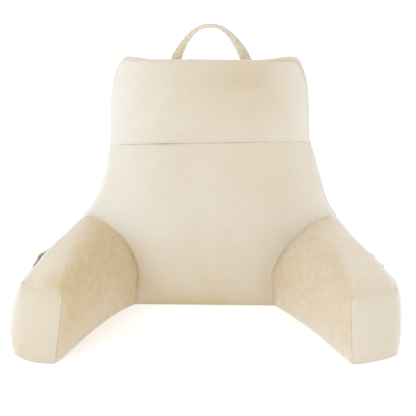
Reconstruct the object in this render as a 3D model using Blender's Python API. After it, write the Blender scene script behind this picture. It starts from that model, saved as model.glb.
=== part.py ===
"""Reading pillow with arms: filled velvet chambers, end panels, side pockets and a carry handle.

Metres, +Z up.  The sitter's side faces -Y, +X is to the right seen from there, and the origin
is under the middle of the outline, on the surface that the pillow stands on.
"""
import math
from collections import namedtuple

import bmesh
import bpy
from mathutils import Vector

# ---- driving dimensions ---------------------------------------------------------------
FRONT_LINE_Y = 0.020            # where the front panel meets the surface
FRONT_LEAN = math.radians(15.5)  # how far the front panel leans back from upright
MID_SEAM_HEIGHT = 0.353         # height of the seam under the head section, at the front
MID_SEAM_TILT = 0.022           # rise of that seam from left to right, per metre
BACK_HEIGHT = 0.532             # height of the head section's front top edge
TOP_FALL = math.radians(14.0)   # slope of the top strip down to the rear
TOP_CORNER_WIDTH = 0.034        # rounding of the head section's top corners, across
TOP_CORNER_HEIGHT = 0.085       # and down
FRONT_CROWN_LOWER = 0.020
FRONT_CROWN_HEAD = 0.024
REAR_CROWN = 0.016
LEFT_SIDE_CROWN = 0.007         # the outer side panels bulge between their seams
RIGHT_SIDE_CROWN = 0.015
HEAD_SIDE_CROWN = 0.005
TOP_CROWN = 0.003
TOP_CORNER_PUFF = (0.010, 0.0115)  # the top strip swells at the two rounded corners, left and right
TOP_CORNER_SPREAD = (0.032, 0.042)
SEAM_RISE = 0.6                 # how the lower front crown rises from a seam: less is sooner
HEAD_RISE = (1.05, 0.6)         # the same for the head section, at the seam below and at its top edge
WALL_RISE = 0.4                 # the same for side walls
WALL_FADE = 8                   # keeps a side wall's crown to the wall itself
ARM_INNER_CROWN = 0.008
LEFT_ARM_OUTER_CROWN = 0.0305
RIGHT_ARM_OUTER_CROWN = 0.0245
ARM_TOP_CROWN = 0.003
ARM_WALL_RISE = 0.35            # how the arm's outer crown rises from its bottom seam
LEFT_ARM_WALL_TOP = (0.80, 0.62)   # the same from its top seam, at the root and at the end
RIGHT_ARM_WALL_TOP = (0.80, 0.40)
ARM_WALL_TURN = 0.75            # where along the arm it starts to change from one to the other
ROOT_FULLNESS = 6.0             # how soon the arm swells away from its root
END_MIDDLE = 0.48               # height of an end's middle, as part of its top
END_FADE = 4                    # keeps the arm's crowns to its skin, away from its ends
END_FULLNESS = 16.0             # how soon the arm swells behind the end panel's seam
ARM_END_DOME = 0.013            # dome of the filled arm behind its end panel
ARM_END_RISE = 3                # how the dome rises from the end's edge: more is sooner
ARM_END_ROUND = 0.12            # part of the arm's length over which its top rounds down to its end
ARM_END_DROP = 0.008
END_PANEL_THICKNESS = 0.004
END_PANEL_DOME = 0.006          # what the end panel adds to the dome at its middle
END_PANEL_EDGE = 0.35           # part of its thickness that is left at its edge
LEFT_FOOT_ROUND = 0.014         # how far the end bulges forward along its bottom edge
RIGHT_FOOT_ROUND = 0.007
SEAT_GAP = 0.0003               # gap between two pieces that are sewn together
ARC_MARGIN = 0.030              # flat margin kept on the back beside and above each arm's arc seam
POCKET_THICKNESS = 0.002
POCKET_SEAT = 0.0007            # its back face from the arm's outer wall
POCKET_GAPE = 0.013             # how far the rim stands off the arm at its middle
HANDLE_WIDTH = 0.025
HANDLE_THICKNESS = 0.006
HANDLE_ARCH = (2.4, 2.15)       # power of the arch, left and right: 2 is a parabola, more is fuller
HANDLE_SPAN = 0.160             # between the centre lines of the two ends
HANDLE_UPRIGHT = 0.16           # part of the strap over which each end turns out of upright
HANDLE_TURN = math.radians(84)  # twist from facing front at the ends to edge on at the top
HANDLE_RISE = 0.0765
HANDLE_DEPTH = 0.050            # behind the front top edge
HANDLE_OFFSET = 0.002           # the handle sits a little right of the middle
HANDLE_TWIST = (0.85, 1.3)      # how late the twist comes, left and right: more is later
# The strap's section, as parts of its width and thickness, with its long edges eased.
HANDLE_SECTION = ((-0.5, -0.3), (-0.42, -0.5), (0.42, -0.5), (0.5, -0.3),
                  (0.5, 0.3), (0.42, 0.5), (-0.42, 0.5), (-0.5, 0.3))

BACK_GRID = (22, 6, 12)
HEAD_GRID = (20, 6, 12)
ARM_GRID = (8, 14, 9)
END_PANEL_GRID = (8, 1, 9)
POCKET_GRID = (12, 1, 8)
HANDLE_STEPS = 28
HANDLE_GAP = 0.00055            # above the surface under its ends, whose facets stand a little higher

# Heights of the back's sections, the half-widths of its front and rear outlines, its rear face,
# and how far the section lies to the right.
BackRow = namedtuple("BackRow", "height front_half rear_half rear_y shift")
BACK_ROWS = (
    BackRow(0.000, 0.285, 0.232, 0.236, 0.0000),
    BackRow(0.100, 0.284, 0.233, 0.240, 0.0000),
    BackRow(0.195, 0.283, 0.232, 0.245, 0.0000),
    BackRow(0.214, 0.2685, 0.229, 0.246, -0.0005),
    BackRow(0.245, 0.251, 0.226, 0.247, 0.0020),
    BackRow(0.276, 0.241, 0.222, 0.248, 0.0030),
    BackRow(0.306, 0.233, 0.218, 0.249, 0.0030),
    BackRow(0.353, 0.225, 0.214, 0.250, 0.0010),
    BackRow(0.454, 0.220, 0.213, 0.254, 0.0000),
    BackRow(0.560, 0.218, 0.212, 0.258, 0.0000),
)

# One row per cross-section of an arm, from its root in the front panel's plane to its end.
# x is counted outward from the middle, y forward is negative and from the front line.
ArmRow = namedtuple("ArmRow", "along in_x in_y out_x out_y lean top round_w round_h power lean_in")
LEFT_ARM_ROWS = (
    ArmRow(0.00, 0.165, 0.000, 0.295, 0.000, 15.5, 0.194, 0.127, 0.133, 1.24, 0.014),
    ArmRow(0.12, 0.186, -0.024, 0.304, -0.016, 12.0, 0.195, 0.108, 0.115, 1.18, 0.015),
    ArmRow(0.30, 0.219, -0.082, 0.323, -0.062, 8.0, 0.190, 0.076, 0.083, 1.10, 0.017),
    ArmRow(0.50, 0.246, -0.145, 0.3475, -0.115, 4.0, 0.184, 0.054, 0.058, 1.05, 0.020),
    ArmRow(0.70, 0.268, -0.207, 0.3645, -0.167, 2.0, 0.177, 0.038, 0.042, 1.00, 0.022),
    ArmRow(0.88, 0.287, -0.262, 0.380, -0.215, 0.0, 0.168, 0.028, 0.030, 1.00, 0.023),
    ArmRow(1.00, 0.301, -0.296, 0.391, -0.253, 0.0, 0.159, 0.020, 0.020, 1.00, 0.023),
)
RIGHT_ARM_ROWS = (
    ArmRow(0.00, 0.152, 0.000, 0.300, 0.000, 15.5, 0.198, 0.137, 0.137, 1.38, 0.013),
    ArmRow(0.12, 0.172, -0.030, 0.304, -0.016, 12.0, 0.197, 0.114, 0.117, 1.30, 0.010),
    ArmRow(0.30, 0.2065, -0.088, 0.320, -0.060, 8.0, 0.189, 0.077, 0.081, 1.12, 0.008),
    ArmRow(0.50, 0.239, -0.150, 0.3425, -0.110, 4.0, 0.182, 0.050, 0.054, 1.05, 0.008),
    ArmRow(0.70, 0.263, -0.206, 0.3655, -0.158, 2.0, 0.172, 0.032, 0.036, 1.00, 0.007),
    ArmRow(0.88, 0.284, -0.252, 0.3835, -0.203, 0.0, 0.160, 0.018, 0.020, 1.00, 0.007),
    ArmRow(1.00, 0.2985, -0.284, 0.3935, -0.238, 0.0, 0.149, 0.009, 0.009, 1.00, 0.008),
)

# Each pocket: from where to where along the arm, and its rim and bottom as parts of the seam height.
PocketRow = namedtuple("PocketRow", "start end bottom rim")
LEFT_POCKET = PocketRow(0.26, 0.74, 0.18, 0.85)
RIGHT_POCKET = PocketRow(0.26, 0.74, 0.18, 0.85)

CREAM = (0.78, 0.72, 0.60)
CREAM_SHADE = (0.70, 0.62, 0.48)


# ---- scene and shared tools -----------------------------------------------------------
def clear_scene():
    for item in list(bpy.data.objects):
        bpy.data.objects.remove(item, do_unlink=True)


def fabric(name, colour, roughness=0.85):
    material = bpy.data.materials.new(name)
    material.use_nodes = True
    shader = material.node_tree.nodes["Principled BSDF"]
    shader.inputs["Base Color"].default_value = (*colour, 1.0)
    shader.inputs["Roughness"].default_value = roughness
    shader.inputs["Metallic"].default_value = 0.0
    return material


def read_rows(rows, key, at, column):
    """Smooth value of one column of a table, where its key column equals at."""
    keys = [getattr(row, key) for row in rows]
    values = [getattr(row, column) for row in rows]
    at = min(max(at, keys[0]), keys[-1])
    last = len(rows) - 2
    i = next((n for n in range(last + 1) if at <= keys[n + 1]), last)
    span = keys[i + 1] - keys[i]
    t = (at - keys[i]) / span

    def slope(n):
        low = max(n - 1, 0)
        high = min(n + 1, last + 1)
        return (values[high] - values[low]) / (keys[high] - keys[low])

    start = slope(i) * span
    end = slope(i + 1) * span
    return ((2 * t**3 - 3 * t**2 + 1) * values[i] + (t**3 - 2 * t**2 + t) * start
            + (3 * t**2 - 2 * t**3) * values[i + 1] + (t**3 - t**2) * end)


def hump(t, edge=0.5):
    """0 at both ends of 0..1 and 1 in the middle, rising quickly near the ends."""
    return max(0.0, 4.0 * t * (1.0 - t)) ** edge


def side_bulge(t, rise, fall):
    """0 at both ends of 0..1, with a rise and a fall of their own, and 1 where it is fullest."""
    best = rise / (rise + fall)
    t = min(max(t, 0.0), 1.0)
    return t**rise * (1.0 - t) ** fall / (best**rise * (1.0 - best) ** fall)


def smooth_step(t):
    t = min(max(t, 0.0), 1.0)
    return t * t * (3.0 - 2.0 * t)


def boxed_surface(counts, place):
    """Closed mesh with the topology of a box: place(a, b, c) puts each surface point."""
    mesh = bmesh.new()
    points = {}

    def vertex(i, j, k):
        if (i, j, k) not in points:
            points[(i, j, k)] = mesh.verts.new(place(i / counts[0], j / counts[1], k / counts[2]))
        return points[(i, j, k)]

    def side(axis, at):
        first, second = [n for n in range(3) if n != axis]
        for p in range(counts[first]):
            for q in range(counts[second]):
                corners = []
                for dp, dq in ((0, 0), (1, 0), (1, 1), (0, 1)):
                    index = [0, 0, 0]
                    index[axis] = at
                    index[first] = p + dp
                    index[second] = q + dq
                    corners.append(vertex(*index))
                mesh.faces.new(corners)

    for axis in range(3):
        side(axis, 0)
        side(axis, counts[axis])
    bmesh.ops.recalc_face_normals(mesh, faces=mesh.faces)
    return mesh


def add_piece(name, mesh, material, parent):
    data = bpy.data.meshes.new(name)
    mesh.to_mesh(data)
    mesh.free()
    data.materials.append(material)
    data.shade_smooth()
    data.set_sharp_from_angle(angle=math.radians(50))
    piece = bpy.data.objects.new(name, data)
    bpy.context.collection.objects.link(piece)
    piece.parent = parent
    return piece


# ---- the back: lower section and head section -------------------------------------------
def front_y(height):
    return height * math.tan(FRONT_LEAN)


def mid_seam(x):
    return MID_SEAM_HEIGHT + MID_SEAM_TILT * x


def arc_half(height, side):
    """Half-width of the front panel that shows beside an arm's arc seam."""
    root = (RIGHT_ARM_ROWS if side > 0 else LEFT_ARM_ROWS)[0]
    if height >= root.top:
        return read_rows(BACK_ROWS, "height", height, "front_half")
    rise = max(0.0, height - root.top + root.round_h) / root.round_h
    rounded = 1.0 - (1.0 - rise ** (2.0 / root.power)) ** (root.power / 2.0)
    return root.in_x + root.round_w * rounded - root.lean_in * max(0.0, height) / root.top


def back_lower_point(a, b, c):
    """a across, b from front to rear, c from the surface up to the mid seam."""
    across = 2.0 * a - 1.0
    front_half = read_rows(BACK_ROWS, "height", c * MID_SEAM_HEIGHT, "front_half")
    rear_half = read_rows(BACK_ROWS, "height", c * MID_SEAM_HEIGHT, "rear_half")
    half = front_half + (rear_half - front_half) * b
    x = across * half + read_rows(BACK_ROWS, "height", c * MID_SEAM_HEIGHT, "shift")
    height = c * (mid_seam(x) - SEAT_GAP / 2)
    rear_y = read_rows(BACK_ROWS, "height", height, "rear_y")
    y = front_y(height) + (rear_y - front_y(height)) * b
    shown = arc_half(height - ARC_MARGIN, across) - ARC_MARGIN
    inside = max(0.0, 1.0 - (x / shown) ** 2) ** SEAM_RISE
    y -= FRONT_CROWN_LOWER * inside * hump(c, SEAM_RISE) * (1.0 - b)
    y += REAR_CROWN * hump(a) * hump(c) * b
    side_crown = RIGHT_SIDE_CROWN if across > 0 else -LEFT_SIDE_CROWN
    x += side_crown * hump(b) * hump(c, WALL_RISE) * abs(across) ** WALL_FADE
    return Vector((x, y, height))


def head_point(a, b, c):
    """a across, b from front to rear, c from the mid seam up to the top edge."""
    across = 2.0 * a - 1.0
    rise = BACK_HEIGHT - MID_SEAM_HEIGHT
    straight = rise - TOP_CORNER_HEIGHT
    corner_path = 0.5 * math.pi * math.sqrt((TOP_CORNER_HEIGHT**2 + TOP_CORNER_WIDTH**2) / 2)
    path = c * (straight + corner_path)
    if path <= straight:
        edge_rise = path
        drawn_in = 0.0
    else:
        angle = (path - straight) / corner_path * math.pi / 2
        edge_rise = straight + TOP_CORNER_HEIGHT * math.sin(angle)
        drawn_in = TOP_CORNER_WIDTH * (1.0 - math.cos(angle))
    level = rise * c + (edge_rise - rise * c) * abs(across) ** 4
    height = MID_SEAM_HEIGHT + level
    front_half = read_rows(BACK_ROWS, "height", height, "front_half") - drawn_in
    rear_half = read_rows(BACK_ROWS, "height", height, "rear_half") - drawn_in
    half = front_half + (rear_half - front_half) * b
    x = across * half + read_rows(BACK_ROWS, "height", height, "shift")
    height += MID_SEAM_TILT * x * (1.0 - c) + SEAT_GAP / 2 * (1.0 - c)
    rear_y = read_rows(BACK_ROWS, "height", height, "rear_y")
    y = front_y(height) + (rear_y - front_y(height)) * b
    fall = (y - front_y(height)) * math.tan(TOP_FALL) * c**3
    y -= FRONT_CROWN_HEAD * hump(a) * side_bulge(c, *HEAD_RISE) * (1.0 - b)
    y += REAR_CROWN * hump(a) * hump(c) * b
    side_crown = math.copysign(HEAD_SIDE_CROWN, across)
    x += side_crown * hump(b) * hump(c, WALL_RISE) * abs(across) ** WALL_FADE
    from_corner = max((1.0 - abs(across)) * half, (1.0 - c) * (straight + corner_path))
    here = 1 if across > 0 else 0
    puff = TOP_CORNER_PUFF[here] * math.exp(-((from_corner / TOP_CORNER_SPREAD[here]) ** 2)) * hump(b)
    x += math.copysign(puff * 0.4, across)
    height += puff + TOP_CROWN * hump(a) * hump(b) * c**8 - fall
    return Vector((x, y, height))


# ---- arms, end panels and pockets --------------------------------------------------------
class Arm:
    """One filled arm as a run of cross-sections; side is -1 for left and 1 for right."""

    def __init__(self, rows, side, outer_crown, wall_top, foot_round):
        self.rows = rows
        self.side = side
        self.outer_crown = outer_crown
        self.wall_top = wall_top
        self.foot_round = foot_round

    def value(self, along, column):
        return read_rows(self.rows, "along", along, column)

    def outline(self, along, a, c):
        """Point on a section's outline as (part of the width, height)."""
        inner = Vector((self.value(along, "in_x"), self.value(along, "in_y")))
        outer = Vector((self.value(along, "out_x"), self.value(along, "out_y")))
        width = (outer - inner).length
        top = self.value(along, "top")
        round_w = self.value(along, "round_w")
        round_h = self.value(along, "round_h")
        power = self.value(along, "power")
        quarter = 0.5 * math.pi * math.sqrt((round_w**2 + round_h**2) / 2)

        def rounded(path_from_corner):
            """Walk from the middle of the rounded corner: negative down the wall, positive outward."""
            reach = quarter / 2
            turn = max(-1.0, min(1.0, path_from_corner / reach))
            angle = math.radians(135 - 45 * turn)
            u = round_w * (1.0 - abs(math.cos(angle)) ** power)
            v = top - round_h + round_h * math.sin(angle) ** power
            if path_from_corner < -reach:
                v = top - round_h - (-path_from_corner - reach)
                u = 0.0
            if path_from_corner > reach:
                u = round_w + (path_from_corner - reach)
                v = top
            return u, v

        wall = top - round_h + quarter / 2
        roof = width - round_w + quarter / 2
        if c >= 1.0:
            u, v = rounded(a * roof)
        elif a <= 0.0:
            u, v = rounded(-(1.0 - c) * wall)
        elif a >= 1.0:
            u, v = width, c * top
        else:
            u, v = a * width, 0.0
        return u / width, v

    def section(self, along, u, v):
        """World point of (part of the width, height) in the section at along."""
        inner = Vector((self.value(along, "in_x"), self.value(along, "in_y")))
        outer = Vector((self.value(along, "out_x"), self.value(along, "out_y")))
        floor_point = inner + (outer - inner) * u
        lean = math.tan(math.radians(self.value(along, "lean")))
        top = self.value(along, "top")
        drawn_in = self.value(along, "lean_in") * v / top
        foot = self.foot_round * 4.0 * u * (1.0 - u) * (1.0 - v / top) * along**12
        forward = self.normal_forward(along) * foot
        return Vector((self.side * (floor_point.x - drawn_in), floor_point.y + v * lean, v)) + forward

    def normal_forward(self, along):
        inner = Vector((self.value(along, "in_x"), self.value(along, "in_y")))
        outer = Vector((self.value(along, "out_x"), self.value(along, "out_y")))
        across = (outer - inner).normalized()
        return Vector((self.side * across.y, -across.x, 0.0))

    def across(self, along):
        forward = self.normal_forward(along)
        return Vector((-self.side * forward.y, self.side * forward.x, 0.0))

    def wall_bulge(self, along, part_of_height):
        """How far the outer wall stands out, without the arm's fullness."""
        root, end = self.wall_top
        fall = root + (end - root) * smooth_step((along - ARM_WALL_TURN) / (1.0 - ARM_WALL_TURN))
        return self.outer_crown * side_bulge(part_of_height, ARM_WALL_RISE, fall)

    def end_drop(self, along, a, c):
        """How far the top has rounded down towards the end."""
        part = max(0.0, (along - 1.0 + ARM_END_ROUND) / ARM_END_ROUND)
        return ARM_END_DROP * part**2.2 * hump(a, 0.4) * smooth_step((c - 0.5) / 0.5)

    def skin(self, along, a, c):
        """Surface point of the arm; interior points of an end shrink towards its middle."""
        reach = max(abs(2 * a - 1), abs(2 * c - 1))
        if reach < 1e-6:
            edge_a, edge_c = 0.5, 0.0
        else:
            edge_a = 0.5 + (a - 0.5) / reach
            edge_c = 0.5 + (c - 0.5) / reach
        edge_a = round(edge_a, 9)
        edge_c = round(edge_c, 9)
        u, v = self.outline(along, edge_a, edge_c)
        top = self.value(along, "top")
        middle = (0.5, top * END_MIDDLE)
        u = middle[0] + (u - middle[0]) * reach
        v = middle[1] + (v - middle[1]) * reach
        point = self.section(along, u, v)
        full = min(1.0, ROOT_FULLNESS * along) * min(1.0, (END_FULLNESS * (1.0 - along)) ** 0.5)
        outward = self.across(along)
        if edge_a >= 1.0:
            point += outward * self.wall_bulge(along, edge_c) * full * reach**END_FADE
        if edge_a <= 0.0:
            point -= outward * ARM_INNER_CROWN * hump(edge_c) * full * reach**END_FADE
        if edge_c >= 1.0:
            point.z += ARM_TOP_CROWN * hump(edge_a) * full * reach**END_FADE
        point.z -= self.end_drop(along, a, c)
        return point, reach

    def point(self, a, b, c):
        """Box point: a from inner to outer, b from root to end, c from bottom to top."""
        along = b
        point, reach = self.skin(along, a, c)
        if b <= 0.0:
            point.y -= SEAT_GAP / math.cos(FRONT_LEAN)
        if b >= 1.0:
            point += self.normal_forward(1.0) * ARM_END_DOME * (1.0 - reach**ARM_END_RISE)
        return point

    def end_panel_point(self, a, b, c):
        """Thin domed panel over the end: b 0 is its hidden face, b 1 the face that shows."""
        point, reach = self.skin(1.0, a, c)
        dome = ARM_END_DOME * (1.0 - reach**ARM_END_RISE) + SEAT_GAP * 1.3
        if b > 0.0:
            dome += END_PANEL_THICKNESS * (1.0 - (1.0 - END_PANEL_EDGE) * reach**6)
            dome += END_PANEL_DOME * (1.0 - reach**2)
        return point + self.normal_forward(1.0) * dome

    def outer_wall(self, along, part_of_height):
        top = self.value(along, "top")
        point = self.section(along, 1.0, part_of_height * top)
        return point + self.across(along) * self.wall_bulge(along, part_of_height)

    def pocket_point(self, pocket, a, b, c):
        along = pocket.start + (pocket.end - pocket.start) * a
        height = pocket.bottom + (pocket.rim - pocket.bottom) * c
        gape = POCKET_GAPE * (max(0.0, math.sin(math.pi * a)) ** 0.8) * c**1.3
        off = POCKET_SEAT + gape + POCKET_THICKNESS * b
        return self.outer_wall(along, height) + self.across(along) * off


# ---- carry handle ------------------------------------------------------------------------
def top_height(x, depth):
    """Height of the head section's top, depth behind the front top edge."""
    rear_y = read_rows(BACK_ROWS, "height", BACK_HEIGHT, "rear_y")
    part = depth / (rear_y - front_y(BACK_HEIGHT))
    half = read_rows(BACK_ROWS, "height", BACK_HEIGHT, "front_half") - TOP_CORNER_WIDTH
    return head_point(0.5 + 0.5 * x / half, part, 1.0).z


def handle_seat():
    """Height of the strap's ends: just above the highest point under them."""
    spots = []
    for end in (-0.5, 0.5):
        for p in (-0.5, 0.5):
            for q in (-0.5, 0.5):
                x = HANDLE_OFFSET + HANDLE_SPAN * end + HANDLE_WIDTH * p
                spots.append(top_height(x, HANDLE_DEPTH + HANDLE_THICKNESS * q))
    return max(spots) + HANDLE_GAP


def handle_centre(t, seat):
    """Centre of the strap at t from 0, its left end, to 1."""
    angle = math.pi * (1.0 - t)
    x = HANDLE_OFFSET + HANDLE_SPAN / 2 * math.cos(angle)
    rise = HANDLE_RISE * (1.0 - abs(math.cos(angle)) ** HANDLE_ARCH[0 if t < 0.5 else 1])
    return Vector((x, front_y(BACK_HEIGHT) + HANDLE_DEPTH, seat + rise))


def handle_mesh():
    seat = handle_seat()
    centres = [handle_centre(n / HANDLE_STEPS, seat) for n in range(HANDLE_STEPS + 1)]
    mesh = bmesh.new()
    rings = []
    for n, centre in enumerate(centres):
        before = centres[max(n - 1, 0)]
        after = centres[min(n + 1, HANDLE_STEPS)]
        t = n / HANDLE_STEPS
        upright = Vector((0.0, 0.0, 1.0 if t < 0.5 else -1.0))
        freed = min(1.0, min(t, 1.0 - t) / HANDLE_UPRIGHT)
        tangent = upright.lerp((after - before).normalized(), freed).normalized()
        front = Vector((0.0, -1.0, 0.0))
        sideways = tangent.cross(front).normalized()
        turn = HANDLE_TURN * math.sin(math.pi * t) ** HANDLE_TWIST[0 if t < 0.5 else 1]
        width_way = sideways * math.cos(turn) + front * math.sin(turn)
        thick_way = tangent.cross(width_way).normalized()
        ring = []
        for p, q in HANDLE_SECTION:
            spot = centre + width_way * HANDLE_WIDTH * p + thick_way * HANDLE_THICKNESS * q
            ring.append(mesh.verts.new(spot))
        rings.append(ring)
    for lower, upper in zip(rings, rings[1:]):
        for m in range(len(HANDLE_SECTION)):
            n = (m + 1) % len(HANDLE_SECTION)
            mesh.faces.new((lower[m], lower[n], upper[n], upper[m]))
    mesh.faces.new(rings[0])
    mesh.faces.new(rings[-1])
    bmesh.ops.recalc_face_normals(mesh, faces=mesh.faces)
    return mesh


# ---- build --------------------------------------------------------------------------------
def build():
    clear_scene()
    cover = fabric("cream velvet", CREAM)
    cover_shade = fabric("cream velvet arms", CREAM_SHADE)
    pillow = bpy.data.objects.new("pillow", None)
    bpy.context.collection.objects.link(pillow)
    pillow.location = (0.0, FRONT_LINE_Y, 0.0)

    add_piece("back_lower", boxed_surface(BACK_GRID, back_lower_point), cover, pillow)
    add_piece("back_head", boxed_surface(HEAD_GRID, head_point), cover, pillow)
    add_piece("carry_handle", handle_mesh(), cover, pillow)
    left_arm = Arm(LEFT_ARM_ROWS, -1.0, LEFT_ARM_OUTER_CROWN, LEFT_ARM_WALL_TOP, LEFT_FOOT_ROUND)
    right_arm = Arm(RIGHT_ARM_ROWS, 1.0, RIGHT_ARM_OUTER_CROWN, RIGHT_ARM_WALL_TOP, RIGHT_FOOT_ROUND)
    sides = (("left", left_arm, LEFT_POCKET), ("right", right_arm, RIGHT_POCKET))
    for word, arm, pocket in sides:
        add_piece("arm_" + word, boxed_surface(ARM_GRID, arm.point), cover_shade, pillow)
        add_piece("end_panel_" + word, boxed_surface(END_PANEL_GRID, arm.end_panel_point), cover, pillow)
        pocket_mesh = boxed_surface(POCKET_GRID, lambda a, b, c: arm.pocket_point(pocket, a, b, c))
        add_piece("pocket_" + word, pocket_mesh, cover, pillow)


build()
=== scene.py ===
import math
import time

import bpy
import numpy as np
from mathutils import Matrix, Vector, noise


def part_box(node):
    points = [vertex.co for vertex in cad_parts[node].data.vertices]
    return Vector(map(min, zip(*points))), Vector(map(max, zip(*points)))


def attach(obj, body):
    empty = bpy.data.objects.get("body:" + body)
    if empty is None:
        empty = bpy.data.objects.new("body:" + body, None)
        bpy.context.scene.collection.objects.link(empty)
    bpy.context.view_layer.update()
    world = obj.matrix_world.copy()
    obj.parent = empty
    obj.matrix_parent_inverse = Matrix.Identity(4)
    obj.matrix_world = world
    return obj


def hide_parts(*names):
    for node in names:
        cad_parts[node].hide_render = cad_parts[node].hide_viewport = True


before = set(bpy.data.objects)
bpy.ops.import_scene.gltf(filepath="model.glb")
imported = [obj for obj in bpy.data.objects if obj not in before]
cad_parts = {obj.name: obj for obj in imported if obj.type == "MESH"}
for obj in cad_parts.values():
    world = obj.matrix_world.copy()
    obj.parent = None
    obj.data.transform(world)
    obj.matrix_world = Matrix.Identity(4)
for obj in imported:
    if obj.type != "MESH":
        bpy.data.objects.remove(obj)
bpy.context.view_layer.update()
print("frame loaded:", ", ".join(sorted(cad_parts)))

# Sizes are in metres. The sitter's side faces -Y.
back = {
    "frontLineY": 0.020,          # where the front panel meets the floor
    "lean": math.radians(15.5),
    "seamHeight": 0.353,          # seam under the head section
    "seamTilt": 0.022,
    "topHeight": 0.532,
    "topFall": math.radians(14.0),
    "cornerWidth": 0.034,         # rounded top corners
    "cornerHeight": 0.085,
    "lowerCrown": 0.020,
    "headCrown": 0.024,
    "headRise": (1.05, 0.6),      # how slowly its crown rises from the seam and falls to the top edge
    "rearCrown": 0.016,
    "sideCrown": (0.007, 0.015),  # pairs are left and right
    "headSideCrown": 0.005,
    "topCrown": 0.003,
    "cornerPuff": (0.010, 0.0115),
    "cornerSpread": (0.032, 0.042),
    "seamGap": 0.0003,
    "names": ("height", "frontHalf", "rearHalf", "rearY", "shift"),
    "rows": (
        (0.000, 0.285, 0.232, 0.236, 0.0000),
        (0.100, 0.284, 0.233, 0.240, 0.0000),
        (0.195, 0.283, 0.232, 0.245, 0.0000),
        (0.214, 0.2685, 0.229, 0.246, -0.0005),
        (0.245, 0.251, 0.226, 0.247, 0.0020),
        (0.276, 0.241, 0.222, 0.248, 0.0030),
        (0.306, 0.233, 0.218, 0.249, 0.0030),
        (0.353, 0.225, 0.214, 0.250, 0.0010),
        (0.454, 0.220, 0.213, 0.254, 0.0000),
        (0.560, 0.218, 0.212, 0.258, 0.0000),
    ),
}

armNames = ("along", "inX", "inY", "outX", "outY", "lean", "top", "roundW", "roundH", "power", "leanIn")
leftArm = {
    "side": -1.0,
    "outerCrown": 0.0305,
    "crownTop": (0.80, 0.62),     # how slowly the outer side fills out below its top edge, at root and end
    "innerCrown": 0.008,
    "topCrown": 0.003,
    "endDome": 0.013,
    "endRound": 0.12,             # part of its length over which the top rounds down to the end panel
    "endDrop": 0.008,
    "endFullness": 16.0,
    "footRound": 0.014,
    "topNap": 0.26,               # depth of the nap on its top
    "innerNap": 0.88,             # and on its inner side, painted darker as the side turned from the key light
    "arcNap": 0.15,               # painted shade added beside the arc at its root
    "footNap": -0.38,             # painted light added near the floor
    "rollNap": 0.45,              # painted shade added where the top rolls over to the inner side, near the end
    "rimNap": 0.22,               # painted sheen along the outer rim, taken off the depth
    "topRim": 0.7,                # part of that painted sheen on the top's outer edge
    "lastNap": 0.10,              # painted light on the inner side by the end panel
    "endShade": -0.1,             # painted shade of the end panel's seam on the inner side, painted light where negative
    "endNap": 0.43,               # depth of the nap on the end panel
    "names": armNames,
    "rows": (
        (0.00, 0.165, 0.000, 0.295, 0.000, 15.5, 0.194, 0.127, 0.133, 1.24, 0.014),
        (0.12, 0.186, -0.024, 0.304, -0.016, 12.0, 0.195, 0.108, 0.115, 1.18, 0.015),
        (0.30, 0.219, -0.082, 0.323, -0.062, 8.0, 0.190, 0.076, 0.083, 1.10, 0.017),
        (0.50, 0.246, -0.145, 0.3475, -0.115, 4.0, 0.184, 0.054, 0.058, 1.05, 0.020),
        (0.70, 0.268, -0.207, 0.3645, -0.167, 2.0, 0.177, 0.038, 0.042, 1.00, 0.022),
        (0.88, 0.287, -0.262, 0.3800, -0.215, 0.0, 0.168, 0.028, 0.030, 1.00, 0.023),
        (1.00, 0.301, -0.296, 0.3910, -0.253, 0.0, 0.159, 0.020, 0.020, 1.00, 0.023),
    ),
}
rightArm = {
    **leftArm,
    "side": 1.0,
    "outerCrown": 0.0245,
    "crownTop": (0.80, 0.40),
    "footRound": 0.007,
    "topNap": 0.29,
    "innerNap": 0.57,
    "arcNap": 0.38,
    "footNap": -0.50,
    "rollNap": 0.05,
    "rimNap": 0.75,
    "topRim": 0.4,
    "lastNap": 0.0,
    "endShade": 0.2,
    "endNap": 0.31,
    "rows": (
        (0.00, 0.152, 0.000, 0.300, 0.000, 15.5, 0.198, 0.137, 0.137, 1.38, 0.013),
        (0.12, 0.172, -0.030, 0.304, -0.016, 12.0, 0.197, 0.114, 0.117, 1.30, 0.010),
        (0.30, 0.2065, -0.088, 0.320, -0.060, 8.0, 0.189, 0.077, 0.081, 1.12, 0.008),
        (0.50, 0.239, -0.150, 0.3425, -0.110, 4.0, 0.182, 0.050, 0.054, 1.05, 0.008),
        (0.70, 0.263, -0.206, 0.3655, -0.158, 2.0, 0.172, 0.032, 0.036, 1.00, 0.007),
        (0.88, 0.284, -0.252, 0.3835, -0.203, 0.0, 0.160, 0.018, 0.020, 1.00, 0.007),
        (1.00, 0.2985, -0.284, 0.3935, -0.238, 0.0, 0.149, 0.009, 0.009, 1.00, 0.008),
    ),
}


# Smooth values of one column of a table at the given keys, which are in its first column.
def readTable(table, at, name):
    keys = np.array([row[0] for row in table["rows"]])
    values = np.array([row[table["names"].index(name)] for row in table["rows"]])
    slopes = np.empty_like(values)
    slopes[1:-1] = (values[2:] - values[:-2]) / (keys[2:] - keys[:-2])
    slopes[0] = (values[1] - values[0]) / (keys[1] - keys[0])
    slopes[-1] = (values[-1] - values[-2]) / (keys[-1] - keys[-2])
    at = np.clip(at, keys[0], keys[-1])
    i = np.minimum(np.searchsorted(keys[1:], at), len(keys) - 2)
    span = keys[i + 1] - keys[i]
    t = (at - keys[i]) / span
    rise = 3 * t**2 - 2 * t**3
    start = (t**3 - 2 * t**2 + t) * slopes[i] * span
    end = (t**3 - t**2) * slopes[i + 1] * span
    return (1 - rise) * values[i] + rise * values[i + 1] + start + end


# 0 at both ends of 0..1 and 1 in the middle.
def hump(t, edge=0.5):
    return np.maximum(0.0, 4.0 * t * (1.0 - t)) ** edge


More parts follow.
